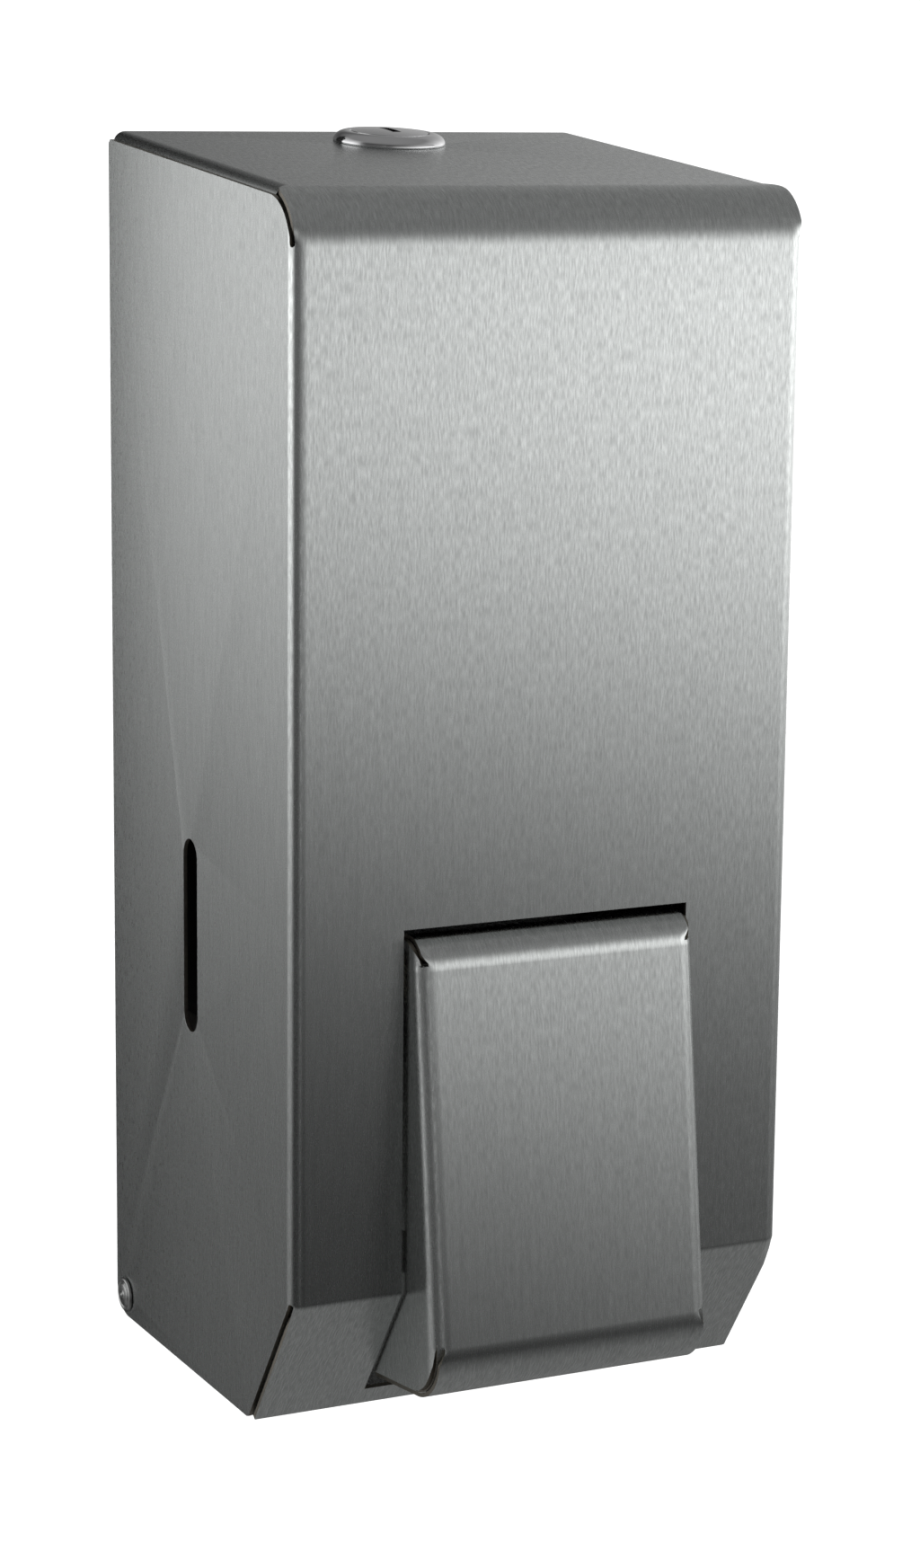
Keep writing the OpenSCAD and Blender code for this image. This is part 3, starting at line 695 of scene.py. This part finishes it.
def stop_tabs(sheet):
    """The tabs that stop the lever's swing against the cover's inside."""
    for side in (-1, 1):
        corners = [lever_local(109.65, z) for z in (38.2, 47.8)]
        inner, outer = LEVER_X - 0.9, LEVER_X + 4.9
        verts = [sheet.vert(side * x, b, u, side * x, u) for x, (b, u) in
                 ((inner, corners[0]), (outer, corners[0]), (outer, corners[1]), (inner, corners[1]))]
        sheet.face(verts, Vector((0, -1, 0)))


cover_piece = build_cover()
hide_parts("cover")
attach(cover_piece, "cover")

lever_piece = build_lever()
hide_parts("push_lever")
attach(lever_piece, "push_lever")


# ---------- pump spring, hinge rivets and lock housing ----------

SPRING_R, WIRE_R, TRAVEL = 6.5, 0.6, 10.7
SPRING_TURNS = 6
SPRING_GAP = 0.1                         # from the coil's front end to the plunger
WIRE_SIDES = 12
WIRE_STEPS = 36                          # for each turn
FORWARD = Vector((0, -1, 0))


def linked(name, bm, material):
    """The finished mesh as a piece of the scene."""
    bmesh.ops.recalc_face_normals(bm, faces=bm.faces)
    mesh = bpy.data.meshes.new(name)
    bm.to_mesh(mesh)
    bm.free()
    mesh.materials.append(material)
    mesh.shade_smooth()
    piece = bpy.data.objects.new(name, mesh)
    bpy.context.scene.collection.objects.link(piece)
    return piece


def ring_skin(bm, old, new):
    """Faces between two rings of as many verts."""
    for i, v in enumerate(old):
        j = (i + 1) % len(old)
        bm.faces.new([v, old[j], new[j], new[i]])


def build_spring():
    """The pump's spring: wire wound round the pump's axis."""
    low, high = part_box("pump_spring")
    axis_z = (low[2] + high[2]) / 2
    front, rear = low[1] + (WIRE_R + SPRING_GAP) * MM, high[1] - WIRE_R * MM
    steps = WIRE_STEPS * SPRING_TURNS
    bm = bmesh.new()
    old = None
    for i in range(steps + 1):
        a = 2 * math.pi * SPRING_TURNS * i / steps
        out = Vector((math.cos(a), 0, math.sin(a)))
        centre = Vector((0, rear + (front - rear) * i / steps, axis_z)) + SPRING_R * MM * out
        ring = []
        for k in range(WIRE_SIDES):
            t = 2 * math.pi * k / WIRE_SIDES
            around = math.cos(t) * out + math.sin(t) * FORWARD
            ring.append(bm.verts.new(centre + WIRE_R * MM * around))
        if old:
            ring_skin(bm, old, ring)
        else:
            bm.faces.new(ring)
        old = ring
    bm.faces.new(old)
    spring = linked("spring_wire", bm, pin_steel)
    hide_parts("pump_spring")
    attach(spring, "root")
    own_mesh(spring)


def rivet_outline():
    """Half the section of one hinge rivet: distance from its axis and from the object's middle plane."""
    inner, seat, top = 56.8, 62.65, 64.2
    head = [(0.0, top), (0.3, top - 0.04), (0.55, top - 0.17), (0.75, top - 0.4), (0.95, top - 0.55),
            (1.3, top - 0.6), (2.5, top - 0.62), (2.8, top - 0.75), (2.95, top - 1.0),
            (3.2, top - 1.02), (3.35, top - 0.82), (3.6, top - 0.78), (3.95, top - 0.86),
            (4.2, top - 1.05), (4.3, seat + 0.15), (4.2, seat)]
    return head + [(2.5, seat), (2.5, inner + 1.5), (3.8, inner + 1.45), (3.9, inner + 1.3),
                   (3.9, inner + 0.2), (3.7, inner), (0.0, inner)]


def turned(bm, outline, place, closed=False, turns=64):
    """Turns an outline of (radius, height) points about the axis that place() gives."""
    rings = []
    for r, h in outline:
        steps = turns if r > 0 else 1
        rings.append([bm.verts.new(place(r, h, 2 * math.pi * k / steps)) for k in range(steps)])
    for old, new in zip(rings, rings[1:] + rings[:1] if closed else rings[1:]):
        if len(old) == len(new):
            ring_skin(bm, old, new)
            continue
        tip, rim = (old, new) if len(old) == 1 else (new, old)
        for k in range(turns):
            bm.faces.new([tip[0], rim[k], rim[(k + 1) % turns]])


def build_rivets():
    """The two hinge rivets, with the ring that the riveting tool leaves."""
    bm = bmesh.new()
    for side in (-1, 1):
        turned(bm, rivet_outline(),
               lambda r, x, a: spot(side * x, HINGE_F + r * math.cos(a), HINGE_Z + r * math.sin(a)))
    rivets = linked("rivets", bm, rivet_steel)
    soften(rivets, 0.06, 2, 60)
    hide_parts("hinge_rivets")
    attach(rivets, "root")


BEZEL_R, BEZEL_H, BEZEL_ROUND = 13.4, 2.65, 3.2
BEZEL_RIM = 0.25                         # height where the crown starts
BEZEL_GAP = 0.02                         # from the cover's top up to the ring
FACE_R, FACE_SEAT = 9.28, 1.0            # the recess for the plug's face
BARREL_R, BARREL_L, PLUG_BORE = 9.4, 18.0, 6.25


def build_housing():
    """The lock's housing: a rounded polished ring on the cover's top, and the barrel below it."""
    crown = arc((0, 0), 1.0, 90, 0, 14)
    outline = [(FACE_R, FACE_SEAT), (FACE_R, BEZEL_H - 0.3), (FACE_R + 0.1, BEZEL_H - 0.08),
               (FACE_R + 0.3, BEZEL_H)]
    outline += [(BEZEL_R - BEZEL_ROUND * (1 - p), BEZEL_RIM + (BEZEL_H - BEZEL_RIM) * q) for p, q in crown]
    outline += [(BEZEL_R - 0.1, BEZEL_GAP), (BARREL_R, BEZEL_GAP), (BARREL_R, -BARREL_L),
                (PLUG_BORE, -BARREL_L), (PLUG_BORE, FACE_SEAT)]
    foot = spot(0, LOCK_F, COVER_H - math.tan(TOP_FALL) * (LOCK_F - REAR_F))
    up = Vector((0, -math.sin(TOP_FALL), math.cos(TOP_FALL)))
    back = Vector((0, math.cos(TOP_FALL), math.sin(TOP_FALL)))
    right = Vector((1, 0, 0))

    def on_axis(r, h, a):
        return foot + (r * math.cos(a) * right + r * math.sin(a) * back + h * up) * MM

    bm = bmesh.new()
    turned(bm, outline, on_axis, closed=True, turns=96)
    housing = linked("lock_ring", bm, chrome)
    soften(housing, 0.05, 2, 60)
    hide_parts("lock_housing")
    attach(housing, "cover")


build_spring()
build_rivets()
build_housing()


# ---------- materials of the carried-over CAD nodes ----------

REPLACED = {"cover", "push_lever", "pump_spring", "hinge_rivets", "lock_housing"}
for part in frame["record"]["subparts"]:
    if part["node"] in REPLACED:
        continue
    node = frame["nodes"][part["node"]]
    node.data.materials.clear()
    node.data.materials.append(SLOT_MATERIALS[part["material_slot"]])


# ---------- studio ----------

def linear(level):
    """The linear light of a grey level from 0 to 255."""
    v = level / 255
    return v / 12.92 if v <= 0.04045 else ((v + 0.055) / 1.055) ** 2.4


REFLECTANCE = 0.62


def ramp(nodes, links, value, low, high, stops):
    """A grey ramp: stops are (value, level seen in the steel)."""
    scaled = spread(nodes, links, value, 0.0, 1.0, (low, high))
    node = nodes.new("ShaderNodeValToRGB")
    elements = node.color_ramp.elements
    while len(elements) > 1:
        elements.remove(elements[-1])
    for i, (at, level) in enumerate(stops):
        e = elements[0] if i == 0 else elements.new((at - low) / (high - low))
        e.position = (at - low) / (high - low)
        grey = linear(level) / REFLECTANCE
        e.color = (grey, grey, grey, 1)
    links.new(scaled, node.inputs["Fac"])
    return node.outputs["Color"]


def curve(nodes, links, value, low, high, stops):
    """A factor that follows stops of (value, factor). Angles are in degrees."""
    scale = math.radians(1) if high > 10 else 1.0
    scaled = spread(nodes, links, value, 0.0, 1.0, (low * scale, high * scale))
    node = nodes.new("ShaderNodeFloatCurve")
    line = node.mapping.curves[0]
    top = max(f for _, f in stops)
    while len(line.points) < len(stops):
        line.points.new(0.5, 0.5)
    for point, (at, factor) in zip(line.points, stops):
        point.location = ((at - low) / (high - low), factor / top)
        point.handle_type = "VECTOR"
    node.mapping.use_clip = False
    node.mapping.update()
    links.new(scaled, node.inputs["Value"])
    return times(nodes, links, node.outputs["Value"], float(top))


# (degrees left of the front, factor): dark behind and just left of the front, bright between
ROOM_BY_AZIMUTH = (
    (-180, 0.31), (-166, 0.36), (-159, 0.58), (-152, 1.12), (-143, 1.6), (-110, 3.0), (-80, 2.4),
    (-50, 1.0), (-30, 0.7), (20, 0.5), (30, 0.42), (42, 0.32), (60, 0.27), (74, 0.30), (84, 0.8),
    (94, 2.6), (106, 3.5), (135, 3.3), (149, 2.9), (157.8, 0.8), (162, 0.30), (180, 0.31))


def build_world():
    """White to the camera. The steel sees a dim room that is lighter near the horizon."""
    world = bpy.data.worlds.new("studio")
    bpy.context.scene.world = world
    world.use_nodes = True
    world.cycles.sampling_method = "NONE"
    nodes, links = world.node_tree.nodes, world.node_tree.links
    nodes.clear()
    place = nodes.new("ShaderNodeTexCoord").outputs["Generated"]
    split = nodes.new("ShaderNodeSeparateXYZ")
    links.new(place, split.inputs["Vector"])
    height = split.outputs["Z"]
    levels = ramp(nodes, links, height, -1.0, 1.0, (
        (-1.0, 98), (-0.86, 97), (-0.55, 75), (-0.35, 50), (-0.26, 61), (-0.22, 78), (-0.17, 106),
        (-0.11, 140), (-0.04, 164), (0.0, 158), (0.06, 140), (0.22, 128), (0.45, 102), (1.0, 106)))
    turn = nodes.new("ShaderNodeMath")
    turn.operation = "ARCTAN2"
    negate = nodes.new("ShaderNodeVectorMath")
    negate.operation = "SCALE"
    negate.inputs["Scale"].default_value = -1.0
    links.new(place, negate.inputs[0])
    backwards = nodes.new("ShaderNodeSeparateXYZ")
    links.new(negate.outputs["Vector"], backwards.inputs["Vector"])
    links.new(backwards.outputs["X"], turn.inputs[0])
    links.new(backwards.outputs["Y"], turn.inputs[1])
    round_room = curve(nodes, links, turn.outputs["Value"], -180, 180, ROOM_BY_AZIMUTH)
    near = curve(nodes, links, height, -1.0, 1.0, ((-0.85, 0.0), (-0.5, 1.0), (0.45, 1.0), (0.75, 0.0)))
    factor = nodes.new("ShaderNodeMix")
    factor.inputs["A"].default_value = 1.0
    links.new(near, factor.inputs["Factor"])
    links.new(round_room, factor.inputs["B"])
    blend = nodes.new("ShaderNodeVectorMath")
    blend.operation = "SCALE"
    links.new(levels, blend.inputs[0])
    links.new(factor.outputs["Result"], blend.inputs["Scale"])
    room = nodes.new("ShaderNodeBackground")
    links.new(blend.outputs["Vector"], room.inputs["Color"])
    white = nodes.new("ShaderNodeBackground")
    white.inputs["Color"].default_value = (1, 1, 1, 1)
    white.inputs["Strength"].default_value = 1.3
    path = nodes.new("ShaderNodeLightPath")
    either = nodes.new("ShaderNodeMath")
    either.operation = "MAXIMUM"
    links.new(path.outputs["Is Camera Ray"], either.inputs[0])
    links.new(path.outputs["Is Diffuse Ray"], either.inputs[1])
    mix = nodes.new("ShaderNodeMixShader")
    links.new(either.outputs["Value"], mix.inputs["Fac"])
    links.new(room.outputs["Background"], mix.inputs[1])
    links.new(white.outputs["Background"], mix.inputs[2])
    out = nodes.new("ShaderNodeOutputWorld")
    links.new(mix.outputs["Shader"], out.inputs["Surface"])


CARD_AZIMUTH = math.radians(27)
CARD_DISTANCE = 0.56
CARD_HALF = 0.95
CARD_BOTTOM, CARD_TOP = -0.45, 0.60
# (height above the cover's bottom in mm, level): the card is brightest level with the cover's top
CARD_LEVELS = (
    (-250, 45), (-96, 66), (-68, 77), (-38, 88), (-8, 102), (23, 121), (60, 144), (88, 164), (128, 188),
    (196, 214), (245, 216), (290, 212), (331, 193), (423, 146), (500, 112), (600, 102), (700, 101))


def build_card():
    """A soft lit card in front, on the right. The front and the lever reflect it."""
    out = Vector((math.sin(CARD_AZIMUTH), -math.cos(CARD_AZIMUTH), 0))
    across = Vector((math.cos(CARD_AZIMUTH), math.sin(CARD_AZIMUTH), 0))
    middle = Vector((0, -FRONT_F * MM, 0)) + out * CARD_DISTANCE
    bm = bmesh.new()
    steps = 24
    rows = []
    for z in (CARD_BOTTOM, CARD_TOP):
        rows.append([bm.verts.new(middle + across * (CARD_HALF * (2 * i / steps - 1)) + Vector((0, 0, z)))
                     for i in range(steps + 1)])
    for i in range(steps):
        bm.faces.new([rows[0][i], rows[0][i + 1], rows[1][i + 1], rows[1][i]])
    mesh = bpy.data.meshes.new("light_card")
    bm.to_mesh(mesh)
    bm.free()
    card = bpy.data.objects.new("light_card", mesh)
    bpy.context.scene.collection.objects.link(card)
    card.visible_camera = False
    card.visible_diffuse = False
    card.visible_shadow = False
    m = bpy.data.materials.new("light_card")
    m.use_nodes = True
    m.cycles.emission_sampling = "NONE"
    nodes, links = m.node_tree.nodes, m.node_tree.links
    nodes.clear()
    place = nodes.new("ShaderNodeTexCoord").outputs["Object"]
    split = nodes.new("ShaderNodeSeparateXYZ")
    links.new(place, split.inputs["Vector"])
    stops = [((h + BASE_Z) * MM, level) for h, level in CARD_LEVELS]
    levels = ramp(nodes, links, split.outputs["Z"], stops[0][0], stops[-1][0], stops)
    high = curve(nodes, links, split.outputs["X"], -0.6, 1.0, (
        (-0.6, 0.25), (-0.30, 0.3), (-0.15, 0.5), (0.05, 0.66), (0.12, 0.73), (0.256, 1.0), (0.33, 1.19),
        (0.40, 1.38), (0.60, 1.7), (1.0, 1.9)))
    low = curve(nodes, links, split.outputs["X"], -0.6, 1.0, (
        (-0.6, 3.2), (-0.36, 2.6), (-0.25, 0.6), (0.1, 0.35), (0.19, 0.50), (0.256, 0.86), (0.33, 1.48),
        (0.44, 2.2), (1.0, 2.6)))
    climb = spread(nodes, links, split.outputs["Z"], 0.0, 1.0, (-0.25, 0.0))
    pick = nodes.new("ShaderNodeMix")
    links.new(climb, pick.inputs["Factor"])
    links.new(low, pick.inputs["A"])
    links.new(high, pick.inputs["B"])
    sideways = pick.outputs["Result"]
    glow = nodes.new("ShaderNodeEmission")
    links.new(levels, glow.inputs["Color"])
    links.new(sideways, glow.inputs["Strength"])
    end = nodes.new("ShaderNodeOutputMaterial")
    links.new(glow.outputs["Emission"], end.inputs["Surface"])
    mesh.materials.append(m)


FLAG_X = (-0.128, -0.045)
FLAG_Z = (-0.60, 0.25)
FLAG_Y = 0.10


def build_flag():
    """A dark flag behind, on the left. It takes some light off the rear of the side."""
    bm = bmesh.new()
    corners = [(FLAG_X[i], FLAG_Y, FLAG_Z[j]) for i, j in ((0, 0), (1, 0), (1, 1), (0, 1))]
    bm.faces.new([bm.verts.new(c) for c in corners])
    mesh = bpy.data.meshes.new("dark_flag")
    bm.to_mesh(mesh)
    bm.free()
    flag = bpy.data.objects.new("dark_flag", mesh)
    bpy.context.scene.collection.objects.link(flag)
    flag.visible_camera = False
    flag.visible_diffuse = False
    flag.visible_shadow = False
    mesh.materials.append(moulded("black_cloth", (0.01, 0.01, 0.01), 0.95, 400, 0.0))


FLOOR_Z = -0.55


def build_floor():
    bm = bmesh.new()
    bmesh.ops.create_grid(bm, x_segments=4, y_segments=4, size=8.0)
    mesh = bpy.data.meshes.new("floor")
    bm.to_mesh(mesh)
    bm.free()
    mesh.transform(Matrix.Translation((0, 0, FLOOR_Z)))
    floor = bpy.data.objects.new("floor", mesh)
    bpy.context.scene.collection.objects.link(floor)
    floor.visible_glossy = False
    floor.visible_diffuse = False
    mesh.materials.append(moulded("pale_floor", (0.96, 0.96, 0.96), 0.9, 30, 0.0))


CAMERA_AT = Vector((-0.37271, -0.82826, 0.15261))
CAMERA_LOOK = Vector((0.43111, 0.88250, -0.18800))
CAMERA_ROLL = math.radians(0.581)


def build_camera():
    camera = bpy.data.cameras.new("camera")
    camera.sensor_fit = "AUTO"
    camera.sensor_width = 36.0
    camera.lens = 84.45
    camera.clip_start, camera.clip_end = 0.05, 50.0
    eye = bpy.data.objects.new("camera", camera)
    bpy.context.scene.collection.objects.link(eye)
    back = -CAMERA_LOOK.normalized()
    right = Vector((0, 0, 1)).cross(back).normalized()
    up = back.cross(right)
    c, s = math.cos(CAMERA_ROLL), math.sin(CAMERA_ROLL)
    right, up = c * right + s * up, c * up - s * right
    eye.matrix_world = Matrix((
        (right.x, up.x, back.x, CAMERA_AT.x),
        (right.y, up.y, back.y, CAMERA_AT.y),
        (right.z, up.z, back.z, CAMERA_AT.z),
        (0, 0, 0, 1)))
    bpy.context.scene.camera = eye


build_world()
build_card()
build_flag()
build_floor()
build_camera()
bpy.context.scene.view_settings.view_transform = "Standard"
